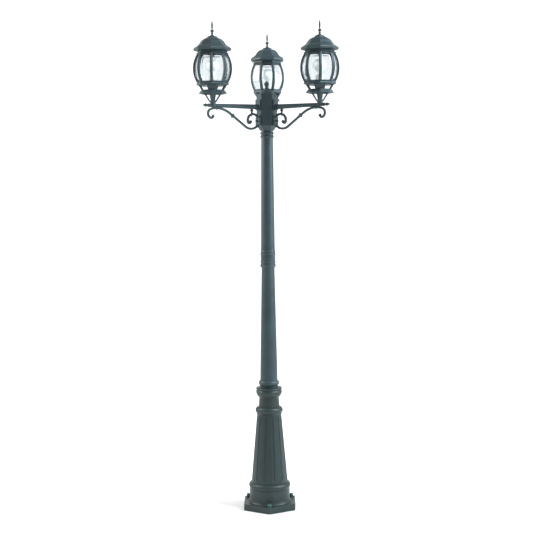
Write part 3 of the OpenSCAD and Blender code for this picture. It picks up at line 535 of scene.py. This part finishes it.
def pane_mesh(glass):
    """Mesh of the eight panes of a lantern, each a closed curved slab with a bevelled border."""
    vertices = []
    faces = []
    for side in range(PANES):
        side_turn = CORNER + 2 * math.pi * side / PANES
        grids = [pane_points(glass, side_turn, outer) for outer in (True, False)]
        faces += slab_faces(len(vertices), len(grids[0]), len(grids[0][0]))
        for grid in grids:
            for line in grid:
                vertices.extend(line)
    mesh = bpy.data.meshes.new("bevelled_panes")
    mesh.from_pydata(vertices, [], faces)
    mesh.validate()
    mesh.shade_smooth()
    mesh.set_sharp_from_angle(angle=SHARP_EDGE)
    return mesh


def lantern_place(side):
    """Transform from a lantern's own frame to the post's."""
    turn = Matrix.Rotation(ARM_TURN[side], 4, "Z")
    reach = Matrix.Translation((LANTERN_REACH, 0.0, 0.0))
    back = Matrix.Rotation(LANTERN_TURN[side] - ARM_TURN[side], 4, "Z")
    return Matrix.Translation((0.0, 0.0, ARM_Z + CAGE_Z)) @ turn @ reach @ back


class LAMPPOST_OT_castings(Operator):
    """Paint the base, poles, hub, arms, scrolls and the metal of the lanterns; the base gets a darker
    copy of the paint as painted shade
    """

    bl_idname = "lamppost.castings"
    bl_label = "Paint the Castings"

    def execute(self, context):
        paint = context.scene.lamp_post.paint
        post_paint = paint_material(paint, "verdigris_paint", paint.colour, paint.verdigris)
        dress(nodes_of_slot("paint"), post_paint)
        # The base casting gets a darker copy of the same paint: painted shade at the foot of the post
        shaded_base_paint = paint_material(paint, "shaded_base_paint", paint.shaded_base_colour, paint.shaded_base_verdigris)
        dress(["base_casting"], shaded_base_paint)
        return {"FINISHED"}


class LAMPPOST_OT_fixings(Operator):
    """Dress the nuts, washers, screws and the threaded pipes under the lanterns"""

    bl_idname = "lamppost.fixings"
    bl_label = "Dress the Fixings"

    def execute(self, context):
        dress(nodes_of_slot("fixings"), fixings_material(context.scene.lamp_post.paint))
        plated = metal_material(
            "yellow_plate", colour=(0.62, 0.52, 0.30), stain=(0.40, 0.33, 0.20), roughness=0.34,
        )
        dress(nodes_of_slot("nipples"), plated)
        return {"FINISHED"}


class LAMPPOST_OT_panes(Operator):
    """Fit eight curved panes with bevelled borders in each cage"""

    bl_idname = "lamppost.panes"
    bl_label = "Fit the Panes"

    def execute(self, context):
        glass = context.scene.lamp_post.glass
        material = pane_material(glass)
        for side in SIDES:
            mesh = pane_mesh(glass)
            mesh.materials.append(material)
            panes = bpy.data.objects.new(f"panes_{side}", mesh)
            mesh.transform(lantern_place(side))
            context.scene.collection.objects.link(panes)
            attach(panes, "post")
            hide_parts(f"glass_{side}")
        return {"FINISHED"}


class LAMPPOST_OT_bulbs(Operator):
    """Dress the bulbs, their screw caps, the lampholders and their shells"""

    bl_idname = "lamppost.bulbs"
    bl_label = "Dress the Bulbs"

    def execute(self, context):
        dress(nodes_of_slot("bulb_glass"), bulb_material(context.scene.lamp_post.glass))
        # Slot: colour, stain, roughness
        metals = {
            "bulb_cap": ((0.72, 0.72, 0.70), (0.50, 0.50, 0.48), 0.28),
            "socket_brass": ((0.70, 0.52, 0.22), (0.42, 0.30, 0.14), 0.25),
        }
        for slot, (colour, stain, roughness) in metals.items():
            dress(nodes_of_slot(slot), metal_material(slot, colour, stain, roughness))
        porcelain = moulded_material(
            "porcelain", colour=(0.78, 0.75, 0.68), patches=(0.70, 0.67, 0.60), roughness=0.22, coat=0.8,
        )
        dress(nodes_of_slot("lampholder"), porcelain)
        return {"FINISHED"}


class LAMPPOST_OT_wiring(Operator):
    """Dress the supply cable, its grommet, the leads and the wire connectors"""

    bl_idname = "lamppost.wiring"
    bl_label = "Dress the Wiring"

    def execute(self, context):
        # Slot: colour, patches, roughness, coat
        mouldings = {
            "cable_jacket": ((0.02, 0.02, 0.02), (0.05, 0.05, 0.05), 0.5, 0.0),
            "lead_jacket": ((0.72, 0.70, 0.62), (0.60, 0.57, 0.49), 0.5, 0.0),
            "grommet": ((0.02, 0.02, 0.02), (0.04, 0.04, 0.04), 0.65, 0.0),
            "connectors": ((0.60, 0.27, 0.04), (0.52, 0.22, 0.03), 0.35, 0.2),
        }
        for slot, (colour, patches, roughness, coat) in mouldings.items():
            dress(nodes_of_slot(slot), moulded_material(slot, colour, patches, roughness, coat))
        return {"FINISHED"}


def backdrop_mesh():
    """Floor that sweeps up into a wall behind the post."""
    half_width = 9.0
    front = -9.0
    wall = 7.0
    height = 9.0
    bend = 3.0
    steps = 24
    profile = [(front, 0.0), (wall - bend, 0.0)]
    for i in range(1, steps + 1):
        turn = math.pi / 2 * i / steps
        profile.append((wall - bend + bend * math.sin(turn), bend - bend * math.cos(turn)))
    profile.append((wall, height))
    vertices = [(x, y, z) for y, z in profile for x in (-half_width, half_width)]
    faces = [(2 * i, 2 * i + 1, 2 * i + 3, 2 * i + 2) for i in range(len(profile) - 1)]
    mesh = bpy.data.meshes.new("backdrop")
    mesh.from_pydata(vertices, [], faces)
    mesh.shade_smooth()
    return mesh


def floor_material(colour):
    """Matt pale board with barely lighter patches."""
    material, tree, shader = plain_material("backdrop")
    lighter = tuple(min(1.0, 1.03 * c) for c in colour)
    values = {
        "Colour": colour, "Patches": lighter, "Cover": 0.4,
        "Roughness": 0.7, "Patch Scale": 1.5, "Grain Scale": 300.0,
    }
    dress_with_group(tree, shader, "Mottled Surface", values, bump_depth=0.0001)
    return material


def add_soft_light(scene, name, place, aim, size, power, colour):
    """Rectangular light at a place, turned towards a point."""
    light = bpy.data.lights.new(name, "AREA")
    light.color = colour
    light.shape = "RECTANGLE"
    light.size, light.size_y = size
    light.energy = power
    lamp = bpy.data.objects.new(name, light)
    lamp.location = place
    lamp.rotation_euler = (Vector(aim) - Vector(place)).to_track_quat("-Z", "Y").to_euler()
    scene.collection.objects.link(lamp)


def add_backdrop(scene, colour):
    """Adds the floor and backdrop, which aren't part of the object."""
    backdrop = bpy.data.objects.new("backdrop", backdrop_mesh())
    backdrop.data.materials.append(floor_material(colour))
    scene.collection.objects.link(backdrop)


def add_sky(scene, strength):
    """Adds even white light from all round."""
    world = bpy.data.worlds.new("studio")
    world.use_nodes = True
    background = world.node_tree.nodes["Background"]
    background.inputs["Color"].default_value = (1.0, 1.0, 1.0, 1.0)
    background.inputs["Strength"].default_value = strength
    scene.world = world


def add_lights(scene, stage):
    """Adds a tall light on each side, a high key light, a weak front light and one on the backdrop."""
    post = (0.0, 0.0, 1.6)
    lanterns = (0.0, 0.0, 2.1)
    wall = (0.0, 7.0, 1.8)
    white = (1.0, 1.0, 1.0)
    cool = (0.82, 0.92, 1.0)

    # Name, place, point aimed at, width and height, power, colour
    lights = (
        ("left_light", (-3.2, 0.2, 2.9), post, (1.2, 2.4), 1.05 * stage.side_power, white),
        ("right_light", (3.0, -0.4, 2.7), post, (1.4, 2.4), 1.1 * stage.side_power, cool),
        ("key_light", (3.2, -1.4, 4.4), lanterns, (1.0, 1.0), stage.key_power, cool),
        ("front_light", (0.5, -4.2, 4.2), post, (2.4, 1.6), stage.front_power, white),
        ("backdrop_light", (0.0, 2.4, 4.6), wall, (5.0, 1.2), stage.backdrop_power, white),
    )
    for light in lights:
        add_soft_light(scene, *light)


def add_camera(scene, stage):
    """Adds the camera at the place and angle that were matched to the photograph."""
    camera = bpy.data.objects.new("photo_camera", bpy.data.cameras.new("photo_camera"))
    camera.data.sensor_width = 36.0
    camera.data.lens = stage.lens
    camera.data.clip_end = 60.0
    turn = Euler((0.0, 0.0, stage.camera_yaw)).to_matrix()
    tilt = Euler((math.pi / 2 - stage.camera_pitch, 0.0, 0.0)).to_matrix()
    roll = Euler((0.0, 0.0, stage.camera_roll)).to_matrix()
    camera.rotation_euler = (turn @ tilt @ roll).to_euler()
    camera.location = stage.camera_at
    scene.collection.objects.link(camera)
    scene.camera = camera


class LAMPPOST_OT_stage(Operator):
    """Set up the floor, the soft lights and the camera"""

    bl_idname = "lamppost.stage"
    bl_label = "Set Up the Studio"

    def execute(self, context):
        scene = context.scene
        stage = scene.lamp_post.stage
        add_backdrop(scene, tuple(stage.floor))
        add_sky(scene, stage.sky)
        scene.view_settings.view_transform = "Standard"
        add_lights(scene, stage)
        add_camera(scene, stage)
        return {"FINISHED"}


class LAMPPOST_PT_looks(Panel):
    """Settings and steps of the lamp post's looks"""

    bl_label = "Lamp Post"
    bl_idname = "LAMPPOST_PT_looks"
    bl_space_type = "VIEW_3D"
    bl_region_type = "UI"
    bl_category = "Lamp Post"

    def draw(self, context):
        settings = context.scene.lamp_post
        groups = (("Paint", settings.paint), ("Glass", settings.glass), ("Studio", settings.stage))
        for title, group in groups:
            box = self.layout.box()
            box.label(text=title)
            for name in group.__annotations__:
                box.prop(group, name)
        for operator in STEPS:
            self.layout.operator(operator.bl_idname)


STEPS = (
    LAMPPOST_OT_castings,
    LAMPPOST_OT_fixings,
    LAMPPOST_OT_panes,
    LAMPPOST_OT_bulbs,
    LAMPPOST_OT_wiring,
    LAMPPOST_OT_stage,
)
CLASSES = (PaintSettings, GlassSettings, StageSettings, PostSettings, *STEPS, LAMPPOST_PT_looks)


def register():
    """Registers the classes and the settings."""
    for cls in CLASSES:
        bpy.utils.register_class(cls)
    bpy.types.Scene.lamp_post = PointerProperty(type=PostSettings)


def unregister():
    """Takes back what register did, in reverse."""
    del bpy.types.Scene.lamp_post
    for cls in reversed(CLASSES):
        bpy.utils.unregister_class(cls)


def main():
    """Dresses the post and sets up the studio."""
    register()
    bpy.ops.lamppost.castings()
    bpy.ops.lamppost.fixings()
    bpy.ops.lamppost.panes()
    bpy.ops.lamppost.bulbs()
    bpy.ops.lamppost.wiring()
    bpy.ops.lamppost.stage()


if __name__ == "__main__":
    main()
